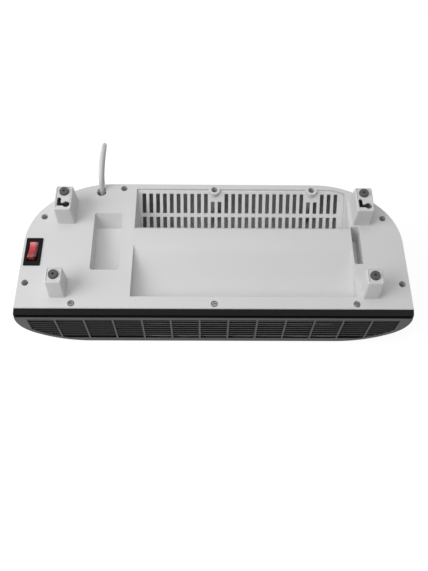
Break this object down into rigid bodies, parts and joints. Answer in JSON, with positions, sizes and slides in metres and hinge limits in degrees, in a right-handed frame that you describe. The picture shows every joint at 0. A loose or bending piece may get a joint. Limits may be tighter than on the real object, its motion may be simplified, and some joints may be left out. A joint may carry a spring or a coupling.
{
  "type": "air curtain",
  "caption": "Wall-mounted heating air curtain: cross-flow fan and PTC heater in a curved shell, standoff posts on its back cover, mains lead with plug.",
  "frame": {"origin": "under the middle of the body, on the surface its flat front face lies on", "axes": "+X across the body, +Y from the air outlet to the top edge as it hangs, +Z out of the back cover, towards the wall"},
  "size_m": [0.537, 0.2704, 0.1434],
  "materials": {
    "white_abs": "fine satin moulded",
    "black_gloss": "polished",
    "grille_gray": "satin moulded",
    "foot_rubber": "matt moulded",
    "screw_steel": "zinc plated",
    "switch_black": "semi gloss moulded",
    "rocker_red": "clear red moulded",
    "cord_white": "smooth sheath",
    "duct_gray": "heat-proof moulded",
    "fan_black": "moulded",
    "steel": "ground",
    "laminations": "blued edges",
    "coil_copper": "enamelled, taped",
    "bracket_zinc": "cast zinc",
    "bronze": "sintered",
    "heater_aluminium": "bright rolled",
    "heater_plastic": "glass-filled",
    "cutout_ceramic": "glazed, metal can",
    "board_green": "solder resist",
    "component_black": "moulded",
    "terminal_white": "polyamide",
    "lens_smoke": "smoked, polished",
    "tie_black": "nylon",
    "pin_brass": "nickel plated"
  },
  "bodies": {
    "casing": {"rear_cover": "white_abs", "inlet_grille": "white_abs", "front_cover": "black_gloss", "receiver_lens": "lens_smoke", "outlet_grille": "grille_gray", "rubber_feet": "foot_rubber", "cover_screws": "screw_steel", "switch_housing": "switch_black", "fan_duct": "duct_gray", "front_guide": "duct_gray", "end_bush": "bronze", "bearing_cushion": "foot_rubber", "motor_stator": "laminations", "motor_coil": "coil_copper", "motor_brackets": "bracket_zinc", "motor_screws": "screw_steel", "heater_tubes": "heater_aluminium", "heater_fins": "heater_aluminium", "heater_brackets": "heater_plastic", "thermal_cutout": "cutout_ceramic", "control_board": "board_green", "board_parts": "component_black", "board_screws": "screw_steel", "terminal_block": "terminal_white", "receiver_board": "board_green", "cord_clamp": "terminal_white", "clamp_screws": "screw_steel", "cord_hank": "cord_white", "hank_tie": "tie_black", "mains_plug": "cord_white", "plug_pins": "pin_brass", "mains_cord": "cord_white"},
    "rocker": {"switch_rocker": "rocker_red"},
    "impeller": {"fan_impeller": "fan_black", "fan_end_pin": "steel", "motor_rotor": "laminations", "motor_shaft": "steel"}
  },
  "joints": [
    {"name": "rocker_tilt", "type": "hinge", "parent": "casing", "child": "rocker", "pos_m": [-0.24535, -0.01945, 0.103], "axis": [1, 0, 0], "range_deg": [0, 22]},
    {"name": "impeller_spin", "type": "hinge", "parent": "casing", "child": "impeller", "pos_m": [0, 0.0025, 0.048], "axis": [1, 0, 0], "continuous": true}
  ]
}
